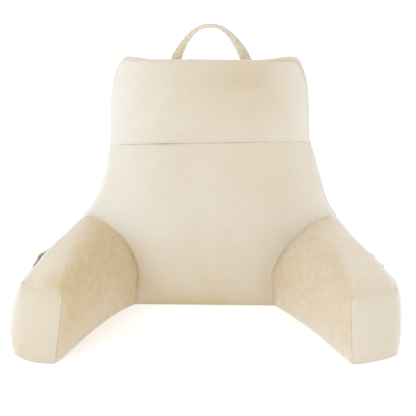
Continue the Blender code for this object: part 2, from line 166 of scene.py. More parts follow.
# 0 at both ends of 0..1, with a rise and a fall of their own, and 1 where it is fullest.
def sideBulge(t, rise, fall):
    best = rise / (rise + fall)
    t = np.clip(t, 0.0, 1.0)
    return t**rise * (1.0 - t) ** fall / (best**rise * (1.0 - best) ** fall)


def smoothStep(t):
    t = np.clip(t, 0.0, 1.0)
    return t * t * (3.0 - 2.0 * t)


# The first of a pair on the left and the second on the right.
def leftRight(x, pair):
    return np.where(x < 0, *pair)


# Closed grid with the topology of a box; each of its six sides keeps its table of vertex numbers.
def boxGrid(counts):
    numbers = {}
    sides = {}
    for axis in range(3):
        first, second = [n for n in range(3) if n != axis]
        for end in (0, 1):
            table = np.empty((counts[first] + 1, counts[second] + 1), int)
            for p in range(counts[first] + 1):
                for q in range(counts[second] + 1):
                    index = [0, 0, 0]
                    index[axis] = counts[axis] * end
                    index[first] = p
                    index[second] = q
                    table[p, q] = numbers.setdefault(tuple(index), len(numbers))
            sides[(axis, end)] = table
    places = np.array(list(numbers)) / np.array(counts)
    return {"counts": counts, "places": places, "sides": sides}


def gridQuads(grid, flipped=False):
    quads = []
    for (axis, end), table in grid["sides"].items():
        corners = [table[:-1, :-1], table[1:, :-1], table[1:, 1:], table[:-1, 1:]]
        outward = (axis != 1) == (end == 1)
        if outward == flipped:
            corners.reverse()
        quads.append(np.stack([c.ravel() for c in corners], axis=1))
    return np.concatenate(quads)


def unitLength(vectors):
    return vectors / np.maximum(np.linalg.norm(vectors, axis=1, keepdims=True), 1e-12)


def vertexNormals(points, quads):
    corners = points[quads]
    facing = np.cross(corners[:, 2] - corners[:, 0], corners[:, 3] - corners[:, 1])
    normals = np.zeros_like(points)
    for n in range(4):
        np.add.at(normals, quads[:, n], facing)
    return unitLength(normals)


# Values on a grid carried over to one twice as fine, with a cubic through the neighbours.
def doubled(values, grid, finer):
    result = np.zeros((len(finer["places"]), values.shape[1]))

    def alongFirst(rows):
        out = np.empty((2 * len(rows) - 1, *rows.shape[1:]))
        out[::2] = rows
        out[1::2] = (rows[:-1] + rows[1:]) / 2
        out[3:-3:2] = (9 * (rows[1:-2] + rows[2:-1]) - rows[:-3] - rows[3:]) / 16
        return out

    for key, table in grid["sides"].items():
        fine = alongFirst(values[table])
        fine = alongFirst(fine.transpose(1, 0, 2)).transpose(1, 0, 2)
        result[finer["sides"][key]] = fine
    return result


# For each point of a grid, how far the nearest seam is along the cloth, and the seam's point there.
# A seam is a pair of sides that meet in it.
def seamField(grid, points, seams):
    far = np.full(len(points), 9.0)
    foot = np.array(points)
    for (axis, end), table in grid["sides"].items():
        first, second = [n for n in range(3) if n != axis]
        spots = points[table]
        for direction, other in ((0, first), (1, second)):
            steps = np.linalg.norm(np.diff(spots, axis=direction), axis=2)
            walked = np.cumsum(steps, axis=direction)
            zero = np.zeros_like(np.take(walked, [0], axis=direction))
            walked = np.concatenate([zero, walked], axis=direction)
            for otherEnd in (0, 1):
                if frozenset(((axis, end), (other, otherEnd))) not in seams:
                    continue
                edge = np.take(spots, [-otherEnd], axis=direction)
                away = walked if otherEnd == 0 else np.take(walked, [-1], axis=direction) - walked
                nearer = away < far[table]
                far[table[nearer]] = away[nearer]
                foot[table[nearer]] = np.broadcast_to(edge, spots.shape)[nearer]
    return far, foot


# Values in between the points of a grid, p rows and q columns on.
def between(values, p, q):
    p = np.clip(p, 0, values.shape[0] - 1)
    q = np.clip(q, 0, values.shape[1] - 1)
    i = np.minimum(p.astype(int), values.shape[0] - 2)
    j = np.minimum(q.astype(int), values.shape[1] - 2)
    p = (p - i)[:, None]
    q = (q - j)[:, None]
    low = values[i, j] * (1 - p) + values[i + 1, j] * p
    high = values[i, j + 1] * (1 - p) + values[i + 1, j + 1] * p
    return low * (1 - q) + high * q


def nearestOnLine(points, line):
    best = np.full(len(points), 9.0)
    foot = np.array(points)
    for start, end in zip(line, line[1:]):
        along = end - start
        t = np.clip(((points - start) @ along) / (along @ along), 0.0, 1.0)
        spot = start + t[:, None] * along
        away = np.linalg.norm(points - spot, axis=1)
        nearer = away < best
        best[nearer] = away[nearer]
        foot[nearer] = spot[nearer]
    return best, foot


def noiseAt(points, size, seed):
    shift = Vector((seed * 7.31, seed * 3.17, seed * 5.53))
    return np.array([noise.noise(Vector(p) / size + shift) for p in points])


# The section as a closed cloth under pressure, held at its seams, with slack beside them.
def settledCloth(name, points, quads, hold, slack, look):
    data = bpy.data.meshes.new(name + "Cloth")
    data.from_pydata(points.tolist(), [], quads.tolist())
    work = bpy.data.objects.new(name + "Cloth", data)
    bpy.context.collection.objects.link(work)
    for label, weights in (("hold", hold), ("slack", slack)):
        group = work.vertex_groups.new(name=label)
        levels = np.round(weights * 20).astype(int)
        for level in range(1, 21):
            group.add(np.nonzero(levels == level)[0].tolist(), level / 20, "REPLACE")
    cloth = work.modifiers.new("cloth", "CLOTH")
    cloth.settings.effector_weights.gravity = 0.0
    for label, value in look["cloth"].items():
        setattr(cloth.settings, label, value)
    cloth.point_cache.frame_end = look["frames"]
    scene = bpy.context.scene
    for frameNumber in range(1, look["frames"] + 1):
        scene.frame_set(frameNumber)
    shown = work.evaluated_get(bpy.context.evaluated_depsgraph_get()).to_mesh()
    settled = np.empty(len(points) * 3)
    shown.vertices.foreach_get("co", settled)
    settled = settled.reshape(-1, 3)
    bpy.data.objects.remove(work)
    scene.frame_set(1)
    moved = settled - points
    far = np.linalg.norm(moved, axis=1, keepdims=True)
    capped = look["cap"] * np.tanh(far / look["cap"])
    moved = moved * capped / np.maximum(far, 1e-9)
    moved *= (1.0 - hold)[:, None]
    print(name, "settled, most moved", round(float(far.max()) * 1000, 1), "mm, usual",
          round(float(np.median(far)) * 1000, 1))
    return moved


# 1 at a given distance from a seam, and less on both sides of it.
def ridge(far, at, width):
    return np.exp(-(((far - at) / width) ** 2))


def grooveDepth(far, look):
    return look["groove"] * ridge(far, 0.0, look["grooveWidth"])


def rollHeight(far, look):
    return look["roll"] * ridge(far, look["rollAt"], look["rollWidth"])


# Height of the cloth beside a seam: the stitched groove, the roll of the seam allowance and puckers.
def seamRelief(far, foot, look, seed):
    near = far < 5 * look["puckerReach"]
    pucker = np.zeros(len(far))
    wave = noiseAt(foot[near], look["puckerSize"], seed)
    wave = wave + 0.5 * noiseAt(foot[near], look["puckerSize"] / 2.3, seed + 1)
    strength = 0.55 + 0.9 * noiseAt(foot[near], look["puckerSize"] * 6, seed + 2)
    fade = np.exp(-far[near] / look["puckerReach"]) * smoothStep(far[near] / 0.004 + 0.25)
    pucker[near] = look["pucker"] * wave * np.clip(strength, 0.1, 1.3) * fade
    return rollHeight(far, look) - grooveDepth(far, look) + pucker


def frontY(height):
    return height * math.tan(back["lean"])


def midSeam(x):
    return back["seamHeight"] + back["seamTilt"] * x


def rootRow(arm):
    return dict(zip(armNames, arm["rows"][0]))


# Half-width of the front panel that shows beside an arm's arc seam.
def arcHalf(height, side):
    shown = readTable(back, height, "frontHalf")
    for arm in (leftArm, rightArm):
        root = rootRow(arm)
        rise = np.clip(height - root["top"] + root["roundH"], 0.0, root["roundH"]) / root["roundH"]
        power = root["power"]
        rounded = 1.0 - (1.0 - rise ** (2.0 / power)) ** (power / 2.0)
        drawnIn = root["leanIn"] * np.maximum(0.0, height) / root["top"]
        half = root["inX"] + root["roundW"] * rounded - drawnIn
        here = (np.sign(side) == arm["side"]) & (height < root["top"])
        shown = np.where(here, half, shown)
    return shown


# Crown of the front panel as a pressed skin held at its seams and arcs: 1 at its fullest point.
def pressedSkin():
    across = np.linspace(-0.3, 0.3, 121)
    up = np.linspace(0.0, 0.36, 73)
    x, z = np.meshgrid(across, up, indexing="ij")
    free = (np.abs(x) < arcHalf(z, x)) & (z > 0.0) & (z < midSeam(x))
    height = np.zeros_like(x)
    for turn in range(3000):
        around = height[:-2, 1:-1] + height[2:, 1:-1] + height[1:-1, :-2] + height[1:-1, 2:]
        height[1:-1, 1:-1] = np.where(free[1:-1, 1:-1], around / 4 + 1.0, 0.0)
    return across, up, (height / height.max()) ** 0.95


skinAcross, skinUp, skinHeight = pressedSkin()


def membrane(x, z):
    p = (x - skinAcross[0]) / (skinAcross[1] - skinAcross[0])
    q = (z - skinUp[0]) / (skinUp[1] - skinUp[0])
    return between(skinHeight[:, :, None], p, q)[:, 0]


# a runs across, b from front to rear and c from the floor up to the seam under the head section.
def lowerPoints(a, b, c):
    across = 2.0 * a - 1.0
    height = c * back["seamHeight"]
    frontHalf = readTable(back, height, "frontHalf")
    rearHalf = readTable(back, height, "rearHalf")
    x = across * (frontHalf + (rearHalf - frontHalf) * b) + readTable(back, height, "shift")
    z = c * (midSeam(x) - back["seamGap"] / 2)
    y = frontY(z) + (readTable(back, z, "rearY") - frontY(z)) * b
    y -= back["lowerCrown"] * membrane(x, z) * (1.0 - b)
    y += back["rearCrown"] * hump(a) * hump(c) * b
    sideCrown = np.sign(across) * leftRight(across, back["sideCrown"])
    x = x + sideCrown * hump(b) * hump(c, 0.4) * np.abs(across) ** 8
    return np.stack([x, y + back["frontLineY"], z], axis=1)


# a runs across, b from front to rear and c from the seam up to the top edge.
def headPoints(a, b, c):
    across = 2.0 * a - 1.0
    rise = back["topHeight"] - back["seamHeight"]
    straight = rise - back["cornerHeight"]
    cornerPath = 0.5 * math.pi * math.hypot(back["cornerHeight"], back["cornerWidth"]) / math.sqrt(2)
    path = c * (straight + cornerPath)
    angle = np.maximum(0.0, path - straight) / cornerPath * math.pi / 2
    edgeRise = np.where(path <= straight, path, straight + back["cornerHeight"] * np.sin(angle))
    drawnIn = back["cornerWidth"] * (1.0 - np.cos(angle))
    z = back["seamHeight"] + rise * c + (edgeRise - rise * c) * np.abs(across) ** 4
    frontHalf = readTable(back, z, "frontHalf") - drawnIn
    rearHalf = readTable(back, z, "rearHalf") - drawnIn
    half = frontHalf + (rearHalf - frontHalf) * b
    x = across * half + readTable(back, z, "shift")
    z = z + back["seamTilt"] * x * (1.0 - c) + back["seamGap"] / 2 * (1.0 - c)
    y = frontY(z) + (readTable(back, z, "rearY") - frontY(z)) * b
    fall = (y - frontY(z)) * math.tan(back["topFall"]) * c**3
    y = y - back["headCrown"] * hump(a) * sideBulge(c, *back["headRise"]) * (1.0 - b)
    y = y + back["rearCrown"] * hump(a) * hump(c) * b
    x = x + np.sign(across) * back["headSideCrown"] * hump(b) * hump(c, 0.4) * np.abs(across) ** 8
    fromCorner = np.maximum((1.0 - np.abs(across)) * half, (1.0 - c) * (straight + cornerPath))
    puff = leftRight(across, back["cornerPuff"])
    puff = puff * ridge(fromCorner, 0.0, leftRight(across, back["cornerSpread"])) * hump(b)
    x = x + np.sign(across) * puff * 0.4
    z = z + puff + back["topCrown"] * hump(a) * hump(b) * c**8 - fall
    return np.stack([x, y + back["frontLineY"], z], axis=1)


def armFrame(arm, along):
    inner = np.stack([readTable(arm, along, "inX"), readTable(arm, along, "inY")], axis=1)
    outer = np.stack([readTable(arm, along, "outX"), readTable(arm, along, "outY")], axis=1)
    across = outer - inner
    width = np.linalg.norm(across, axis=1)
    unit = across / width[:, None]
    level = np.zeros(len(along))
    forward = np.stack([arm["side"] * unit[:, 1], -unit[:, 0], level], axis=1)
    outward = np.stack([arm["side"] * unit[:, 0], unit[:, 1], level], axis=1)
    return inner, outer, width, forward, outward


# Point of a section's outline as (part of the width, height).
def armOutline(arm, along, a, c):
    width = armFrame(arm, along)[2]
    top = readTable(arm, along, "top")
    roundW = readTable(arm, along, "roundW")
    roundH = readTable(arm, along, "roundH")
    power = readTable(arm, along, "power")
    reach = 0.25 * math.pi * np.sqrt((roundW**2 + roundH**2) / 2)
    path = np.where(c >= 1.0, a * (width - roundW + reach), -(1.0 - c) * (top - roundH + reach))
    turn = np.clip(path / reach, -1.0, 1.0)
    angle = np.radians(135.0 - 45.0 * turn)
    u = roundW * (1.0 - np.abs(np.cos(angle)) ** power)
    v = top - roundH + roundH * np.sin(angle) ** power
    v = np.where(path < -reach, top - roundH + path + reach, v)
    u = np.where(path < -reach, 0.0, u)
    u = np.where(path > reach, roundW + path - reach, u)
    v = np.where(path > reach, top, v)
    onSkin = (c >= 1.0) | (a <= 0.0)
    onOuter = ~onSkin & (a >= 1.0)
    u = np.where(onSkin, u, np.where(onOuter, width, a * width))
    v = np.where(onSkin, v, np.where(onOuter, c * top, 0.0))
    return u / width, v


def armSection(arm, along, u, v):
    inner, outer, _, forward, _ = armFrame(arm, along)
    spot = inner + (outer - inner) * u[:, None]
    lean = np.tan(np.radians(readTable(arm, along, "lean")))
    top = readTable(arm, along, "top")
    drawnIn = readTable(arm, along, "leanIn") * v / top
    foot = arm["footRound"] * 4.0 * u * (1.0 - u) * (1.0 - v / top) * along**12
    point = np.stack([arm["side"] * (spot[:, 0] - drawnIn), spot[:, 1] + v * lean, v], axis=1)
    point[:, 1] += back["frontLineY"]
    return point + forward * foot[:, None]


# Surface of the arm; inside an end, points shrink towards its middle as reach falls from 1 to 0.
def armSkin(arm, along, a, c):
    reach = np.maximum(np.abs(2 * a - 1), np.abs(2 * c - 1))
    safe = np.maximum(reach, 1e-6)
    edgeA = np.round(0.5 + (a - 0.5) / safe, 9)
    edgeC = np.round(np.where(reach < 1e-6, 0.0, 0.5 + (c - 0.5) / safe), 9)
    u, v = armOutline(arm, along, edgeA, edgeC)
    middle = readTable(arm, along, "top") * 0.48
    u = 0.5 + (u - 0.5) * reach
    v = middle + (v - middle) * reach
    point = armSection(arm, along, u, v)
    outward = armFrame(arm, along)[4]
    full = np.minimum(1.0, 6.0 * along) * np.minimum(1.0, np.sqrt(arm["endFullness"] * (1.0 - along)))
    full = full * reach**4
    root, end = arm["crownTop"]
    bulge = sideBulge(edgeC, 0.35, root + (end - root) * smoothStep((along - 0.75) / 0.25))
    point += outward * (np.where(edgeA >= 1.0, arm["outerCrown"] * bulge, 0.0) * full)[:, None]
    point -= outward * (np.where(edgeA <= 0.0, arm["innerCrown"] * hump(edgeC), 0.0) * full)[:, None]
    point[:, 2] += np.where(edgeC >= 1.0, arm["topCrown"] * hump(edgeA), 0.0) * full
    return point, reach


# a runs from the inner side to the outer, b from the root to the end and c from the floor up.
def armPoints(arm, a, b, c):
    point, reach = armSkin(arm, b, a, c)
    point[:, 1] -= np.where(b <= 0.0, back["seamGap"] / math.cos(back["lean"]), 0.0)
    rounded = np.clip((b - 1.0 + arm["endRound"]) / arm["endRound"], 0.0, 1.0)
    drop = arm["endDrop"] * rounded**2.2 * hump(a, 0.4)
    point[:, 2] -= drop * smoothStep((c - 0.5) / 0.5)
    forward = armFrame(arm, b)[3]
    return point + forward * (np.where(b >= 1.0, arm["endDome"] * (1.0 - reach**3), 0.0))[:, None]


def addMesh(name, points, faces, attributes=None):
    data = bpy.data.meshes.new(name)
    data.from_pydata(points.tolist(), [], list(faces))
    for label, values in (attributes or {}).items():
        layer = data.attributes.new(label, "FLOAT", "POINT")
        layer.data.foreach_set("value", np.full(len(points), values, np.float32))
    data.shade_smooth()
    data.update()
    piece = bpy.data.objects.new(name, data)
    bpy.context.collection.objects.link(piece)
    return piece


# Keeps the shading of the cloth from bending round into a side that lies against another piece.
def sharpenRound(data, grid, sides):
    edges = np.empty(len(data.edges) * 2, int)
    data.edges.foreach_get("vertices", edges)
    edges = edges.reshape(-1, 2)
    sharp = np.zeros(len(edges), bool)
    for side in sides:
        table = grid["sides"][side]
        onRim = np.zeros(len(data.vertices), bool)
        for rim in (table[0], table[-1], table[:, 0], table[:, -1]):
            onRim[rim] = True
        sharp |= onRim[edges[:, 0]] & onRim[edges[:, 1]]
    layer = data.attributes.new("sharp_edge", "BOOLEAN", "EDGE")
    layer.data.foreach_set("value", sharp)


def addNode(tree, kind, values=None, **settings):
    node = tree.nodes.new(kind)
    for label, value in settings.items():
        setattr(node, label, value)
    for label, value in (values or {}).items():
        socket = node.inputs[label]
        if isinstance(value, bpy.types.NodeSocket):
            tree.links.new(value, socket)
        else:
            socket.default_value = value
    return node


def mathNode(tree, operation, first, second=0.0, third=0.0):
    values = {0: first, 1: second, 2: third}
    return addNode(tree, "ShaderNodeMath", values, operation=operation).outputs[0]


# Colour of the velvet from its nap: slow clouds, crushed mottling and fine pile, plus the painted light
# and shade carried by the nap depth and the painted shade that gathers in a seam.
def buildNapGroup():
    group = bpy.data.node_groups.new("velvetNap", "ShaderNodeTree")
    inputs = (
        ("Light Nap", "Color", (0.8, 0.7, 0.6, 1.0)),
        ("Deep Nap", "Color", (0.6, 0.5, 0.4, 1.0)),
        ("Cloud Scale", "Float", 6.0),
        ("Cloud Amount", "Float", 0.3),
        ("Crush Scale", "Float", 50.0),
        ("Crush Stretch", "Vector", (1.0, 1.0, 1.0)),
        ("Crush Amount", "Float", 0.2),
        ("Crush Mask", "Float", 1.0),
        ("Nap And Painted Light", "Float", 0.3),
        ("Pile Scale", "Float", 900.0),
        ("Pile Amount", "Float", 0.1),
        ("Painted Seam Shade", "Float", 0.0),
        ("Seam Shade Amount", "Float", 0.5),
    )
    for label, kind, value in inputs:
        socket = group.interface.new_socket(name=label, in_out="INPUT", socket_type="NodeSocket" + kind)
        socket.default_value = value
    outputs = (
        ("Colour", "Color"),
        ("Roughness", "Float"),
        ("Pile Height", "Float"),
    )
    for label, kind in outputs:
        group.interface.new_socket(name=label, in_out="OUTPUT", socket_type="NodeSocket" + kind)
    given = addNode(group, "NodeGroupInput").outputs
    coords = addNode(group, "ShaderNodeTexCoord").outputs["Object"]

    def spots(scale, detail, distortion, low, high, place=coords):
        texture = addNode(group, "ShaderNodeTexNoise", {
            "Vector": place, "Scale": scale, "Detail": detail, "Roughness": 0.5, "Distortion": distortion})
        return addNode(group, "ShaderNodeMapRange", {
            "Value": texture.outputs["Fac"], "From Min": low, "From Max": high}).outputs["Result"]

    stretched = addNode(group, "ShaderNodeVectorMath", {
        0: coords, 1: given["Crush Stretch"]}, operation="MULTIPLY").outputs[0]
    clouds = spots(given["Cloud Scale"], 2.0, 0.3, 0.34, 0.66)
    crushed = spots(given["Crush Scale"], 2.0, 0.1, 0.36, 0.64, stretched)
    crush = mathNode(group, "MULTIPLY", crushed, given["Crush Mask"])
    pile = spots(given["Pile Scale"], 1.0, 0.0, 0.25, 0.75)
    # The nap depth brings in painted light and shade as well as the nap itself; the seam mask brings
    # painted seam shade.
    depth = mathNode(group, "MULTIPLY_ADD", clouds, given["Cloud Amount"], given["Nap And Painted Light"])
    depth = mathNode(group, "MULTIPLY_ADD", crush, given["Crush Amount"], depth)
    depth = mathNode(group, "MULTIPLY_ADD", pile, given["Pile Amount"], depth)
    depth = mathNode(group, "MULTIPLY_ADD", given["Painted Seam Shade"], given["Seam Shade Amount"], depth)
    depth = addNode(group, "ShaderNodeClamp", {"Value": depth, "Min": -0.5, "Max": 1.2}).outputs["Result"]
    ends = {"Factor": depth, "A": given["Light Nap"], "B": given["Deep Nap"]}
    colour = addNode(group, "ShaderNodeMix", ends, data_type="RGBA", clamp_factor=False)
    rough = mathNode(group, "MULTIPLY_ADD", crush, 0.12, 0.72)
    height = mathNode(group, "MULTIPLY_ADD", crush, 0.6, mathNode(group, "MULTIPLY", pile, 0.4))
    result = addNode(group, "NodeGroupOutput")
    group.links.new(colour.outputs["Result"], result.inputs["Colour"])
    group.links.new(rough, result.inputs["Roughness"])
    group.links.new(height, result.inputs["Pile Height"])
    return group


napGroup = buildNapGroup()


def velvetMaterial(name, look):
    material = bpy.data.materials.new(name)
    material.use_nodes = True
    tree = material.node_tree
    shader = tree.nodes["Principled BSDF"]
    nap = addNode(tree, "ShaderNodeGroup", look["nap"], node_tree=napGroup)
    painted = (("Crush Mask", "crush"), ("Painted Seam Shade", "seamShade"), ("Nap And Painted Light", "napAndPaintedLight"))
    for label, attribute in painted:
        source = addNode(tree, "ShaderNodeAttribute", attribute_name=attribute)
        tree.links.new(source.outputs["Fac"], nap.inputs[label])
    bump = addNode(tree, "ShaderNodeBump", {
        "Height": nap.outputs["Pile Height"], "Strength": look["bump"], "Distance": 0.001})
    tree.links.new(nap.outputs["Colour"], shader.inputs["Base Color"])
    tree.links.new(nap.outputs["Roughness"], shader.inputs["Roughness"])
    tree.links.new(bump.outputs["Normal"], shader.inputs["Normal"])
    for label, value in look["shader"].items():
        shader.inputs[label].default_value = value
    return material


velvetLook = {
    "nap": {
        "Light Nap": (0.750, 0.723, 0.652, 1.0),
        "Deep Nap": (0.60, 0.475, 0.30, 1.0),
        "Cloud Scale": 7.0,
        "Cloud Amount": 0.12,
        "Crush Scale": 62.0,
        "Crush Stretch": (0.8, 0.6, 1.0),
        "Crush Amount": 0.16,
        "Pile Scale": 900.0,
        "Pile Amount": 0.06,
        "Seam Shade Amount": 0.45,
    },
    "bump": 0.35,
    "shader": {
        "Specular IOR Level": 0.2,
        "Sheen Weight": 0.8,
        "Sheen Roughness": 0.35,
        "Sheen Tint": (1.0, 0.97, 0.92, 1.0),
    },
}
greyerLook = {
    **velvetLook,
    "nap": {**velvetLook["nap"], "Deep Nap": (0.555, 0.445, 0.290, 1.0)},
}
strapVelvetLook = {
    **velvetLook,
    "nap": {
        **velvetLook["nap"],
        "Deep Nap": (0.59, 0.49, 0.31, 1.0),
        "Crush Scale": 230.0,
        "Crush Stretch": (1.0, 1.0, 1.0),
        "Crush Amount": 0.9,
    },
}
backVelvet = velvetMaterial("backVelvet", greyerLook)
armVelvet = velvetMaterial("armVelvet", velvetLook)
endVelvet = velvetMaterial("endVelvet", greyerLook)
pocketVelvet = velvetMaterial("pocketVelvet", velvetLook)
strapVelvet = velvetMaterial("strapVelvet", strapVelvetLook)
print("velvet mixed")


def allSeamsBut(*left):
    sides = [(axis, end) for axis in range(3) for end in (0, 1)]
    pairs = {frozenset((p, q)) for p in sides for q in sides if p[0] != q[0]}
    return pairs - {frozenset(pair) for pair in left}


def dress(piece, material, node):
    piece.data.materials.append(material)
    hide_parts(node)
    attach(piece, "root")
    print(piece.name, len(piece.data.vertices), "points")


onFloor = 0.0005                  # points lower than this rest on the floor


# A filled section: its coarse grid is swollen as cloth, then carried to a finer grid with its seams.
def filledPiece(name, node, material, place, look, flipped=False, extra=None):
    coarse = boxGrid(look["grid"])
    finer = boxGrid([2 * n for n in look["grid"]])
    a, b, c = finer["places"].T
    points = place(a, b, c)
    rough = place(*coarse["places"].T)
    away = seamField(coarse, rough, look["seams"])[0]
    hold = np.where(away < 0.001, 1.0, 0.0)
    hold[rough[:, 2] < onFloor] = 1.0
    slack = np.exp(-away / look["slackReach"])
    if "held" in look:
        hold = np.maximum(hold, look["held"](rough, *coarse["places"].T))
    started = time.time()
    moved = settledCloth(name, rough, gridQuads(coarse, flipped), hold, slack, look)
    print(name, "took", round(time.time() - started, 1), "s")
    points = points + doubled(moved, coarse, finer)
    quads = gridQuads(finer, flipped)
    normals = vertexNormals(points, quads)
    far, foot = seamField(finer, points, look["seams"])
    relief = seamRelief(far, foot, look, look["seed"])
    if extra is not None:
        more, far = extra(points, normals, far, a, b, c)
        relief = relief + more
    outOfFloor = np.maximum(relief * (normals[:, 2] > -0.5), 0.0)
    relief = np.where(points[:, 2] < onFloor, outOfFloor, relief)
    points = points + normals * relief[:, None]
    points[:, 2] = np.maximum(points[:, 2], 0.0)
    # Depth of the nap with painted light and shade, and painted shade along the seams.
    depth, crush, shade = look["nap"](points, vertexNormals(points, quads), a, b, c)
    attributes = {
        "seamShade": shade * np.exp(-far / look["shadeReach"]),
        "crush": crush,
        "napAndPaintedLight": depth,
    }
    piece = addMesh(name, points, quads, attributes)
    sharpenRound(piece.data, finer, look["hidden"])
    dress(piece, material, node)
    return finer, points


seamLook = {
    "cloth": {
        "quality": 5,
        "use_pressure": True,
        "uniform_pressure_force": 4.0,
        "tension_stiffness": 15.0,
        "compression_stiffness": 15.0,
        "shear_stiffness": 5.0,
        "bending_stiffness": 0.5,
        "air_damping": 1.0,
        "vertex_group_mass": "hold",
        "pin_stiffness": 20.0,
        "vertex_group_shrink": "slack",
        "shrink_min": 0.0,
        "shrink_max": -0.03,      # how much longer the cloth is beside a seam
    },
    "slackReach": 0.03,
    "frames": 20,
    "cap": 0.012,                 # the most that a point moves
    "groove": 0.0008,
    "grooveWidth": 0.003,
    "roll": 0.0008,               # of the seam allowance under the cloth
    "rollAt": 0.008,
    "rollWidth": 0.004,
    "pucker": 0.0022,
    "puckerSize": 0.011,
    "puckerReach": 0.014,
    "shadeReach": 0.0025,
    "fill": 0.85,
}

# How deep the nap looks across the front: brushed smooth on the left, rougher on the right, and partly
# painted shade, lighter on the left towards the key light.
frontNapAndShade = {
    "names": ("x", "lower", "head", "top"),
    "rows": (
        (-0.26, -0.16, -0.34, 0.00),
        (-0.17, 0.02, 0.03, 0.01),
        (-0.10, 0.18, 0.25, 0.07),
        (-0.03, 0.28, 0.40, 0.03),
        (0.05, 0.32, 0.47, 0.20),
        (0.12, 0.34, 0.46, 0.13),
        (0.18, 0.33, 0.31, 0.00),
        (0.25, 0.09, -0.16, 0.00),
    ),
    "rear": 0.35,                 # on the rear and on the sides
    "side": 0.08,
    "edge": 0.05,                 # painted sheen: how much lighter the last part of its width looks
    "edgeFrom": 0.9,
    "underSeam": 0.08,            # painted shade: how much deeper it gets towards the seam under the head section
    "foot": 0.69,                 # and painted shade towards the floor
    "rightFoot": 0.31,            # part of that painted shade by the floor that is missing on the right
    "footReach": 0.05,
    "arcs": (0.62, 0.10),         # painted shade: how much deeper it looks beside the left and the right arc
    "arcReach": 0.045,
    "arcHeights": (0.07, 0.10, 0.20),     # where that is in full, starts to fade and ends
    "crush": 0.25,                # part of the crushed mottling that shows
}

# How dark the seam under the head section shows from place to place: painted shade, and painted light
# where negative.
seamLine = {
    "names": ("x", "dark"),
    "rows": (
        (-0.215, 0.00),
        (-0.185, 0.30),
        (-0.135, 0.45),
        (-0.100, 0.90),
        (-0.075, 0.50),
        (-0.045, 0.10),
        (0.000, 0.25),
        (0.035, 0.20),
        (0.070, 0.30),
        (0.115, 0.00),
        (0.160, -0.10),
        (0.190, 0.10),
        (0.230, 0.00),
    ),
}

# The same painted shade for the seams round the arms' roots, from the floor up, with painted light where
# negative.
arcShade = {
    "names": ("z", "left", "right"),
    "rows": (
        (0.000, 0.00, 0.00),
        (0.040, 0.00, -0.40),
        (0.070, 0.80, -0.50),
        (0.110, 1.00, -0.30),
        (0.145, 0.50, -0.40),
        (0.175, -0.40, -0.60),
        (0.200, -0.60, -0.60),
    ),
}


# 1 where the cloth faces the sitter.
def facesFront(normals):
    return smoothStep(-1.5 * normals[:, 1])


# Depth of the nap on the rear and on the sides of the back.
def awayNap(normals):
    rear = smoothStep((normals[:, 1] - 0.2) / 0.6)
    return frontNapAndShade["side"] + (frontNapAndShade["rear"] - frontNapAndShade["side"]) * rear


# Painted sheen: lighter along both side edges of a panel.
def paintedEdgeSheen(a):
    start = frontNapAndShade["edgeFrom"]
    return frontNapAndShade["edge"] * smoothStep((np.abs(2 * a - 1) - start) / (1.0 - start))


# Nap of the lower back, with painted shade towards the floor, beside the arcs and under the head section,
# a painted sheen along its side edges, and painted shade and light along its seams.
def lowerNapAndShade(points, normals, a, b, c):
    x, z = points[:, 0], points[:, 2]
    facing = facesFront(normals)
    foot = frontNapAndShade["foot"] * (1.0 - frontNapAndShade["rightFoot"] * smoothStep(x / 0.1))
    low, high, end = frontNapAndShade["arcHeights"]
    beside = np.maximum(0.0, arcHalf(z, x) - np.abs(x)) / frontNapAndShade["arcReach"]
    arcs = leftRight(x, frontNapAndShade["arcs"]) * np.exp(-beside)
    arcs = arcs * smoothStep((end - z) / (end - high)) * smoothStep(z / low)
    depth = readTable(frontNapAndShade, x, "lower") + foot * np.exp(-z / frontNapAndShade["footReach"]) + arcs
    depth = depth + frontNapAndShade["underSeam"] * smoothStep((c - 0.5) / 0.4) - paintedEdgeSheen(a)
    depth = depth * facing + awayNap(normals) * (1.0 - facing)
    shade = leftRight(x, [readTable(arcShade, z, word) for word in ("left", "right")])
    shade = np.where(c > 0.9, readTable(seamLine, x, "dark") * facing, shade)
    return depth, frontNapAndShade["crush"], shade


# Nap of the head section, with painted shade along its seams and the seams of its top corners, and a
# painted sheen along its side edges. Pairs are for its left and its right top corner.
headNapLook = {
    "aboveSeam": 0.75,            # part of its depth just above the seam
    "brushFrom": 0.60,            # where a brushed patch begins, as a part of the way up
    "brushFade": 0.82,            # and where it starts to fade
    "brushEnd": 0.5,              # part of it that is left at the top edge
    "topStrip": 0.35,
    "earFrom": (0.12, 0.10),
    "earWidth": (0.06, 0.08),
    "earDepth": (0.30, 0.45),
    "earShade": (0.4, 0.7),
    "earBase": 0.47,
    "seamShade": 0.08,
    "midSeamPart": 0.6,           # how dark the painted shade of the seam below shows on this side of it
}


